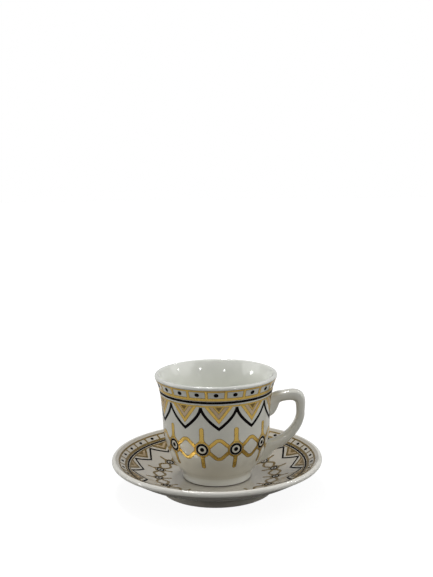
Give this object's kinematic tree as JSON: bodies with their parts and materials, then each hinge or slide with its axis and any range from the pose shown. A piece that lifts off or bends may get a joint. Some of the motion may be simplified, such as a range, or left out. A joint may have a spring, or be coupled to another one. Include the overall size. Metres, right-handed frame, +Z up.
{
  "type": "coffee cup and saucer",
  "caption": "Small handled porcelain coffee cup with a flared lip, standing on its saucer, both with a gold and black geometric border.",
  "frame": {"origin": "on the saucer's and cup's common axis, at the table under the saucer's foot ring", "axes": "+Z up along the common axis, +X out through the cup's handle, -Y towards the front"},
  "size_m": [0.114, 0.114, 0.0641],
  "materials": {
    "porcelain": "gloss",
    "bright_gold": "polished",
    "black_enamel": "gloss"
  },
  "bodies": {
    "saucer": {"saucer_dish": "porcelain", "saucer_gold_border": "bright_gold", "saucer_border_dots": "black_enamel", "saucer_black_stripe": "black_enamel", "saucer_gold_chevrons": "bright_gold", "saucer_black_zigzag": "black_enamel", "saucer_gold_chain": "bright_gold", "saucer_eye_rings": "black_enamel"},
    "cup": {"cup_body": "porcelain", "cup_handle": "porcelain", "cup_gold_border": "bright_gold", "cup_border_dots": "black_enamel", "cup_black_stripe": "black_enamel", "cup_gold_chevrons": "bright_gold", "cup_black_scallops": "black_enamel", "cup_gold_chain": "bright_gold", "cup_eye_rings": "black_enamel"}
  },
  "joints": [
    {"name": "cup_lift", "type": "slide", "parent": "saucer", "child": "cup", "axis": [0, 0, 1], "range_m": [0, 0.06]}
  ]
}
